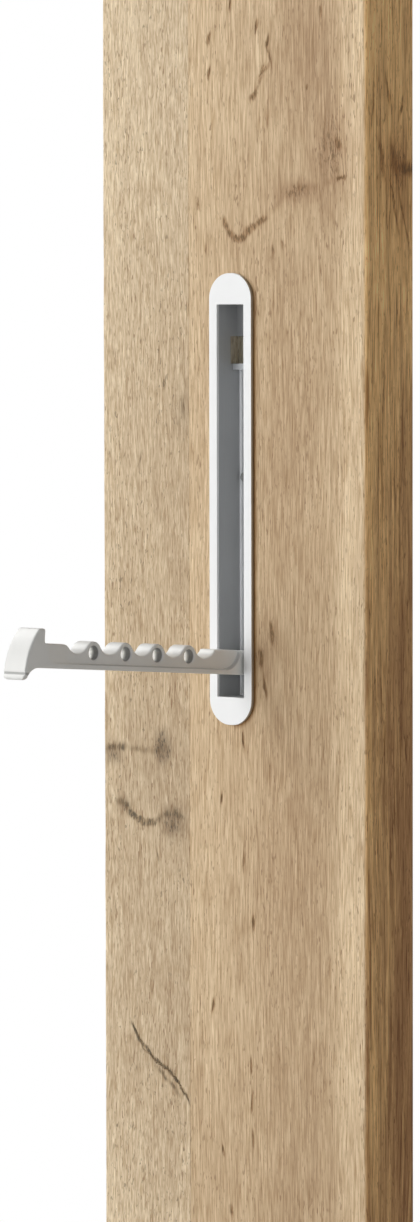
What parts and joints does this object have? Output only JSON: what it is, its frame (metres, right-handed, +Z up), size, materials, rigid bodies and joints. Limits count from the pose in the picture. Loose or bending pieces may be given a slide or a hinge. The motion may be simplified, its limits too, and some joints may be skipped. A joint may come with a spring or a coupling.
{
  "type": "coat rack panel",
  "caption": "Thick oak wall board with a recessed fold-out hanger arm that swings up flush into a slotted metal cover plate.",
  "frame": {"origin": "centre of the board's back face", "axes": "+X to the right as seen by someone facing the panel, +Y from the front into the wall, +Z up"},
  "size_m": [0.2, 0.2279, 1.2],
  "materials": {
    "oak": "brushed and oiled",
    "plate_metal": "satin",
    "arm_metal": "satin",
    "housing_metal": "matt",
    "steel": "zinc plated",
    "nylon": "moulded",
    "buffer_plastic": "moulded"
  },
  "bodies": {
    "panel": {"stave_left": "oak", "stave_right": "oak", "cover_plate": "plate_metal", "plate_retainers": "steel", "housing": "housing_metal", "housing_screws": "steel", "pivot_pin": "steel", "friction_washer_left": "nylon", "friction_washer_right": "nylon", "spring_washer": "steel", "retaining_clip": "steel", "rest_buffer": "buffer_plastic", "hanging_plate_upper": "steel", "hanging_plate_lower": "steel", "hanging_plate_screws": "steel"},
    "arm": {"arm": "arm_metal"}
  },
  "joints": [
    {"name": "arm_fold", "type": "hinge", "parent": "panel", "child": "arm", "pos_m": [0, -0.0365, 0.1762], "axis": [-1, 0, 0], "range_deg": [0, 86]}
  ]
}
